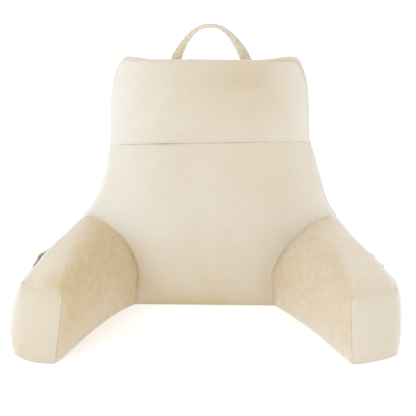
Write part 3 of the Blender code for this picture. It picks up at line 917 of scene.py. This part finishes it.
def headNapAndShade(points, normals, a, b, c):
    look = headNapLook
    x, z = points[:, 0], points[:, 2]
    facing = facesFront(normals)
    brushed = smoothStep((c - look["brushFrom"]) / 0.15)
    brushed = brushed * (1.0 - (1.0 - look["brushEnd"]) * smoothStep((c - look["brushFade"]) / 0.12))
    depth = readTable(frontNapAndShade, x, "head")
    depth = depth * (look["aboveSeam"] + (1.0 - look["aboveSeam"]) * smoothStep(c / 0.6))
    depth = depth + readTable(frontNapAndShade, x, "top") * brushed - paintedEdgeSheen(a)
    left, right = [smoothStep((side * x - start) / width)
                   for side, start, width in zip((-1.0, 1.0), look["earFrom"], look["earWidth"])]
    ears = look["earDepth"][0] * left + look["earDepth"][1] * right
    away = awayNap(normals)
    strip = look["topStrip"] + ears * smoothStep((0.4 - b) / 0.35)
    away = away + (strip - away) * smoothStep((normals[:, 2] - 0.15) / 0.6)
    depth = depth * facing + away * (1.0 - facing)
    ears = look["earShade"][0] * left + look["earShade"][1] * right
    shade = look["seamShade"] + ears * smoothStep((z - look["earBase"]) / 0.04)
    shade = np.where(c < 0.1, look["midSeamPart"] * readTable(seamLine, x, "dark") * facing, shade)
    return depth, frontNapAndShade["crush"], shade


# The cloth stays in place where an arm's root covers it.
def behindArms(points, a, b, c):
    height = points[:, 2]
    top = leftRight(points[:, 0], [rootRow(arm)["top"] for arm in (leftArm, rightArm)])
    inside = np.abs(points[:, 0]) - arcHalf(height, points[:, 0])
    return np.where((b <= 0.0) & (height < top), smoothStep(inside / 0.004 + 1.0), 0.0)


lowerLook = {
    **seamLook,
    "grid": (114, 20, 70),
    "seams": allSeamsBut(),
    "hidden": [(2, 1)],
    "seed": 1,
    "nap": lowerNapAndShade,
    "held": behindArms,
}
headLook = {
    **seamLook,
    "grid": (90, 28, 40),
    "seams": allSeamsBut(((0, 0), (2, 1)), ((0, 1), (2, 1))),
    "hidden": [(2, 0)],
    "seed": 11,
    "nap": headNapAndShade,
}


# Where along an arm its nap and its painted light and shade change, from 0 at the root to 1 at the end.
armNapLook = {
    "crispFrom": 0.55,            # from here on the painted shade of the inner side starts more sharply below the top
    "arcReach": 0.16,
    "footReach": 0.05,            # in metres
    "rollAt": 0.92,
    "rollWidth": 0.10,
    "rimFrom": 0.84,
    "rimBefore": 0.3,             # part of the painted sheen on the rim that shows before it
    "rimOutside": 0.15,           # and on the flat of the outer side
    "lastFrom": 0.90,
    "topLast": 0.10,              # painted shade: how much deeper the last of the top is
    "topLine": 0.35,              # painted light: how much lighter the seam along the end panel's top is
    "crush": 0.3,                 # part of the crushed mottling that shows on the top
}


def armNapAndShade(arm):
    look = armNapLook
    word = "left" if arm["side"] < 0 else "right"

    def nap(points, normals, a, b, c):
        z = points[:, 2]
        onTop = c >= 1.0
        # inner marks the side turned from the key light, which is painted darker; rim marks the outer rim,
        # painted lighter as a sheen.
        facing = np.sum(normals * armFrame(arm, b)[4], axis=1)
        soft = smoothStep(0.3 - facing)
        crisp = smoothStep((0.12 - facing) / 0.6)
        inner = soft + (crisp - soft) * smoothStep((b - look["crispFrom"]) / 0.3)
        last = smoothStep((b - look["lastFrom"]) / (1.0 - look["lastFrom"]))
        roll = (1.0 - inner) * smoothStep((0.75 - a) / 0.6) * onTop
        roll = roll * ridge(b, look["rollAt"], look["rollWidth"])
        beside = arm["arcNap"] * np.exp(-b / look["arcReach"])
        beside = beside + arm["footNap"] * np.exp(-z / look["footReach"])
        depth = arm["topNap"] + (arm["innerNap"] - arm["topNap"] + beside - arm["lastNap"] * last) * inner
        rim = look["rimBefore"] + (1.0 - look["rimBefore"]) * smoothStep((b - look["rimFrom"]) / 0.12)
        rim = rim * smoothStep((facing - 0.10) / 0.5)
        rim = rim * (1.0 - (1.0 - look["rimOutside"]) * smoothStep((facing - 0.75) / 0.22))
        rim = np.maximum(rim, arm["topRim"] * smoothStep((a - 0.82) / 0.18) * onTop)
        depth = depth + arm["rollNap"] * roll - arm["rimNap"] * rim + look["topLast"] * last * onTop
        # Painted shade and light along the root's seam and along the end panel's seams.
        shade = readTable(arcShade, z, word) * smoothStep((0.1 - b) / 0.06)
        lines = arm["endShade"] * inner - look["topLine"] * onTop * (1.0 - inner)
        shade = shade + lines * smoothStep((b - look["lastFrom"]) / 0.06)
        return depth, look["crush"] + (1.0 - look["crush"]) * inner, shade

    return nap


# No groove where the arm's root meets the front panel, nor by the end panel but on the outer side.
def rootRelief(points, normals, far, a, b, c):
    end = smoothStep((b - 0.94) / 0.04) * (a < 1.0)
    return grooveDepth(far, seamLook) * np.maximum(smoothStep((0.03 - b) / 0.02), end), far


# The seam under the head section is as deep as it shows dark.
def midRelief(points, far, near):
    shallow = 1.0 - np.clip(readTable(seamLine, points[:, 0], "dark"), 0.0, 1.0)
    return (grooveDepth(far, seamLook) - 0.7 * rollHeight(far, seamLook)) * shallow * near


def headRelief(points, normals, far, a, b, c):
    return midRelief(points, far, smoothStep((0.08 - c) / 0.04)), far


armLook = {
    **seamLook,
    "grid": (26, 62, 36),
    "seams": allSeamsBut(((0, 0), (2, 1))),
    "hidden": [(1, 0), (1, 1)],
}


def arcLine(arm):
    steps = np.linspace(0.0, 1.0, 60)
    zero = np.zeros(60)
    wall = armSkin(arm, zero, zero, steps)[0]
    roof = armSkin(arm, zero, steps, zero + 1.0)[0]
    return np.concatenate([wall, roof[1:]])


# The front panel dips where an arm is sewn to it, with a roll of cloth beside the arc.
arcLook = {
    **seamLook,
    "groove": 0.0002,
    "roll": 0.0012,
    "rollAt": 0.007,
    "rollWidth": 0.0045,
    "pucker": 0.0026,
}


def arcRelief(points, normals, far, a, b, c):
    relief = np.zeros(len(points))
    front = (b <= 0.0) & (points[:, 2] < 0.26)
    for arm, seed in ((leftArm, 21), (rightArm, 31)):
        here = front & (points[:, 0] * arm["side"] > 0)
        spots = points[here]
        away, foot = nearestOnLine(spots, arcLine(arm))
        height = spots[:, 2]
        covered = (np.abs(spots[:, 0]) > arcHalf(height, spots[:, 0])) & (height < rootRow(arm)["top"])
        more = seamRelief(away, foot, arcLook, seed)
        more = more - 0.8 * rollHeight(away, arcLook) * smoothStep((height - 0.12) / 0.05)
        relief[here] = np.where(covered, -arcLook["groove"], more)
        far[here] = np.minimum(far[here], away)
    return relief + midRelief(points, far, smoothStep((c - 0.92) / 0.04)), far


filledPiece("lowerBack", "back_lower", backVelvet, lowerPoints, lowerLook, extra=arcRelief)
filledPiece("headSection", "back_head", backVelvet, headPoints, headLook, extra=headRelief)


# Spots on one side of a settled grid, at parts p and q of its way.
def onSide(points, table, p, q):
    return between(points[table], p * (table.shape[0] - 1), q * (table.shape[1] - 1))


endLook = {
    "grid": (52, 1, 72),
    "behind": 0.0004,       # from the filled end to the panel's hidden face
    "thickness": 0.0012,
    "bead": 0.0011,         # rolled seam allowance round the edge
    "beadWidth": 0.004,
    "dip": 0.0005,
    "dipAt": 0.008,
    "dipWidth": 0.004,
    "innerHighlight": 0.08,      # painted highlight: how much lighter the nap is on the inner edge, below its middle
    "innerWidth": 0.003,
    "topShade": 0.08,       # painted shade: how much deeper it is by the top edge
    "topWidth": 0.014,
    "line": 0.3,            # painted shade of the seam on its outer edge, and painted light on its top edge
    "crush": 0.25,
    "flat": (0.105, 0.165),
}


def endPanel(word, arm, grid, points):
    panel = boxGrid(endLook["grid"])
    a, b, c = panel["places"].T
    table = grid["sides"][(1, 1)]
    base = onSide(points, table, a, c)
    middle = base.mean(axis=0)
    forward = armFrame(arm, np.array([1.0]))[3][0]
    fromEdges = [np.linalg.norm(base - onSide(points, table, e, f), axis=1)
                 for e, f in ((0 * a, c), (0 * a + 1, c), (a, 0 * c), (a, 0 * c + 1))]
    fromEdge = np.minimum.reduce(fromEdges)
    beaded = fromEdges[3] > np.minimum(fromEdges[0], fromEdges[1])
    bead = endLook["bead"] * beaded * ridge(fromEdge, 0.0, endLook["beadWidth"])
    dip = endLook["dip"] * ridge(fromEdge, endLook["dipAt"], endLook["dipWidth"])
    front = endLook["behind"] + endLook["thickness"] + bead - dip
    away = np.where(b > 0.5, front, endLook["behind"] * (0.25 + 0.75 * smoothStep(fromEdge / 0.005)))
    outward = base - middle
    outward = unitLength(outward - np.outer(outward @ forward, forward))
    spots = base + forward * away[:, None] + outward * (bead * 0.5)[:, None]
    spots[:, 2] = np.maximum(spots[:, 2], 0.0)
    # Painted highlight on the inner edge, painted shade by the top edge and the outer seam, painted light
    # along the top seam.
    light = endLook["innerHighlight"] * ridge(fromEdges[0], 0.003, endLook["innerWidth"])
    light = light * ridge(spots[:, 2], 0.065, 0.055)
    depth = arm["endNap"] - light + endLook["topShade"] * ridge(fromEdges[3], 0.0, endLook["topWidth"])
    lines = endLook["line"] * (np.exp(-fromEdges[1] / 0.003) - np.exp(-fromEdges[3] / 0.003))
    shade = {"seamShade": lines, "crush": endLook["crush"], "napAndPaintedLight": depth}
    piece = addMesh("endPanel" + word.title(), spots, gridQuads(panel, arm["side"] > 0), shade)
    dress(piece, endVelvet, "end_panel_" + word)
    return piece


pocketLook = {
    "grid": (56, 1, 40),
    "start": 0.26,          # as a part of the arm's length
    "end": 0.74,
    "bottom": 0.18,         # as a part of its height
    "rim": 0.85,
    "behind": 0.0009,       # from the arm to the pocket
    "thickness": 0.0016,
    "hem": 0.0012,
    "hemFrom": 0.84,
    "gape": 0.013,          # how far the mouth stands open
    "fold": 0.0022,
    "napAndPaintedLight": 0.22,
    "crush": 0.4,
    "flat": (0.150, 0.125),
}


def armPocket(word, arm, grid, points):
    look = pocketLook
    sheet = boxGrid(look["grid"])
    a, b, c = sheet["places"].T
    rounded = 1.0 - 0.09 * np.maximum(0.0, 1.0 - c / 0.16) ** 2
    at = 0.5 + (a - 0.5) * rounded
    along = look["start"] + (look["end"] - look["start"]) * at
    height = look["bottom"] + (look["rim"] - look["bottom"]) * c
    base = onSide(points, grid["sides"][(0, 1)], along, height)
    outward = armFrame(arm, along)[4]
    edge = np.minimum(np.minimum(a, 1 - a) * 0.14, c * 0.11)
    hem = smoothStep((c - look["hemFrom"]) / 0.02)
    gape = look["gape"] * np.sin(np.pi * a) ** 0.8 * c**1.3
    fold = look["fold"] * np.sin(np.pi * a) * c**2 * np.sin(17.0 * a + arm["side"])
    stitch = 0.0006 * ridge(edge, 0.005, 0.0016) + 0.0007 * ridge(c, look["hemFrom"], 0.012)
    thickness = look["thickness"] + look["hem"] * hem - stitch
    off = look["behind"] + np.maximum(gape + fold, 0.0) + b * thickness
    spots = base + outward * off[:, None]
    shade = {
        "seamShade": np.exp(-edge / 0.004),
        "crush": look["crush"],
        "napAndPaintedLight": look["napAndPaintedLight"],
    }
    piece = addMesh("pocket" + word.title(), spots, gridQuads(sheet, arm["side"] > 0), shade)
    dress(piece, pocketVelvet, "pocket_" + word)
    return piece


def buildArm(word, arm, seed):
    look = {**armLook, "seed": seed, "nap": armNapAndShade(arm)}
    name = word + "Arm"

    def place(a, b, c):
        return armPoints(arm, a, b, c)

    grid, points = filledPiece(name, "arm_" + word, armVelvet, place, look,
                               flipped=arm["side"] > 0, extra=rootRelief)
    for build, flat in ((endPanel, endLook["flat"]), (armPocket, pocketLook["flat"])):
        build(word, arm, grid, points)


buildArm("left", leftArm, 41)
buildArm("right", rightArm, 51)

strapLook = {
    "steps": 150,
    "around": 28,
    "width": 0.025,
    "narrower": 0.08,       # how much of its width it loses at the top, where it is folded
    "thickness": 0.0056,
    "span": 0.161,
    "rise": 0.0775,
    "arch": (2.4, 2.15),    # left and right
    "upright": 0.16,        # part of its length over which each end stands upright
    "turn": math.radians(84.0),
    "twist": (0.85, 1.3),   # how late it turns edge on, left and right
    "depth": 0.050,         # behind the head section's front top edge
    "offset": 0.0018,
    "sunk": 0.004,
    "crumple": 0.0009,
    "crumpleSize": 0.007,
    "stitchAt": 0.36,       # of its width, from its middle
    "fill": 0.3,
}


def carryStrap(seatHeight):
    look = strapLook
    t = np.linspace(0.0, 1.0, look["steps"] + 1)
    turn = np.pi * (1.0 - t)
    centre = np.zeros((len(t), 3))
    centre[:, 0] = look["offset"] + look["span"] / 2 * np.cos(turn)
    centre[:, 1] = back["frontLineY"] + frontY(back["topHeight"]) + look["depth"]
    arch = np.where(t < 0.5, *look["arch"])
    centre[:, 2] = seatHeight + look["rise"] * (1.0 - np.abs(np.cos(turn)) ** arch)
    centre[[0, -1], 2] -= look["sunk"]
    tangent = unitLength(np.gradient(centre, axis=0))
    upright = np.zeros_like(tangent)
    upright[:, 2] = np.where(t < 0.5, 1.0, -1.0)
    freed = np.minimum(1.0, np.minimum(t, 1.0 - t) / look["upright"])[:, None]
    tangent = unitLength(upright * (1 - freed) + tangent * freed)
    front = np.array([0.0, -1.0, 0.0])
    sideways = unitLength(np.cross(tangent, front))
    late = np.where(t < 0.5, *look["twist"])
    twist = (look["turn"] * np.sin(np.pi * t) ** late)[:, None]
    widthWay = sideways * np.cos(twist) + front * np.sin(twist)
    thickWay = np.cross(tangent, widthWay)
    angle = np.linspace(0.0, 2 * np.pi, look["around"], endpoint=False)
    p = 0.5 * np.sign(np.cos(angle)) * np.abs(np.cos(angle)) ** 0.4
    q = 0.5 * np.sign(np.sin(angle)) * np.abs(np.sin(angle)) ** 0.6
    stitched = ridge(np.abs(p), look["stitchAt"], 0.05)
    q = look["thickness"] * q * (1.0 - 0.3 * stitched)
    width = look["width"] * (1.0 - look["narrower"] * np.sin(np.pi * t) ** 1.5)
    across = widthWay[:, None] * (width[:, None] * p)[:, :, None]
    rings = centre[:, None] + across + thickWay[:, None] * q[:, None]
    flat = rings.reshape(-1, 3)
    sway = noiseAt(flat, look["crumpleSize"], 71)
    away = unitLength(flat - np.repeat(centre, look["around"], axis=0))
    flat = flat + away * (look["crumple"] * sway)[:, None]
    rows = np.arange(len(flat)).reshape(-1, look["around"])
    following = np.roll(rows, -1, axis=1)
    quads = np.stack([rows[:-1], following[:-1], following[1:], rows[1:]], axis=2).reshape(-1, 4)
    # Its edges are painted lighter as a sheen and its stitch lines darker as painted seam shade; on its
    # right leg one half of its width is lighter and less mottled.
    edge = np.tile(smoothStep((np.abs(p) - 0.30) / 0.15), len(t))
    turned = np.outer(smoothStep((t - 0.62) / 0.2), smoothStep((p + 0.05) / 0.3)).ravel()
    shades = {
        "seamShade": np.tile(0.4 * stitched, len(t)),
        "crush": 1.0 - 0.4 * turned,
        "napAndPaintedLight": 0.10 - 0.2 * edge - 0.25 * turned,
    }
    strap = addMesh("carryStrap", flat, [*quads, rows[0][::-1], rows[-1]], shades)
    dress(strap, strapVelvet, "carry_handle")


carryStrap(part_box("carry_handle")[0].z)

# Camera at the photograph's angle, light and floor.
studio = {
    "azimuth": 1.5,
    "elevation": 19.0,
    "distance": 2.4,
    "target": (0.0, 0.020, 0.2325),
    "lens": 1090.0 / 416.0 * 36.0,
    "world": 1.03,
    "lights": {
        "key": {"place": (-1.6, -1.5, 2.1), "size": 1.4, "power": 12.0},
        "fill": {"place": (1.8, -1.8, 1.2), "size": 1.8, "power": 0.1},
    },
    "floor": {
        "Base Color": (0.96, 0.96, 0.96, 1.0),
        "Roughness": 0.9,
        "Emission Color": (1.0, 1.0, 1.0, 1.0),
        "Emission Strength": 0.20,        # lightens the shadows on the floor, which hardly show
    },
}


def pointAt(thing, target):
    thing.rotation_euler = (Vector(target) - thing.location).to_track_quat("-Z", "Y").to_euler()


def addLight(name, place, size, power):
    light = bpy.data.lights.new(name, "AREA")
    light.size = size
    light.energy = power
    lamp = bpy.data.objects.new(name, light)
    bpy.context.collection.objects.link(lamp)
    lamp.location = place
    pointAt(lamp, studio["target"])


def buildStudio():
    turn = math.radians(studio["azimuth"])
    climb = math.radians(studio["elevation"])
    way = Vector((math.sin(turn) * math.cos(climb), -math.cos(turn) * math.cos(climb), math.sin(climb)))
    camera = bpy.data.objects.new("camera", bpy.data.cameras.new("camera"))
    bpy.context.collection.objects.link(camera)
    camera.data.lens = studio["lens"]
    camera.data.sensor_width = 36.0
    camera.location = Vector(studio["target"]) + way * studio["distance"]
    pointAt(camera, studio["target"])
    bpy.context.scene.camera = camera
    world = bpy.data.worlds.new("studio")
    world.use_nodes = True
    sky = world.node_tree.nodes["Background"]
    sky.inputs["Color"].default_value = (1.0, 1.0, 1.0, 1.0)
    sky.inputs["Strength"].default_value = studio["world"]
    bpy.context.scene.world = world
    for name, lamp in studio["lights"].items():
        addLight(name, **lamp)
    bpy.context.scene.view_settings.view_transform = "Standard"
    floorPoints = np.array([(-6, -6, 0), (6, -6, 0), (6, 6, 0), (-6, 6, 0)], float)
    floor = addMesh("floor", floorPoints, [(0, 1, 2, 3)])
    paint = bpy.data.materials.new("paleFloor")
    paint.use_nodes = True
    for label, value in studio["floor"].items():
        paint.node_tree.nodes["Principled BSDF"].inputs[label].default_value = value
    floor.data.materials.append(paint)


buildStudio()
print("studio set")
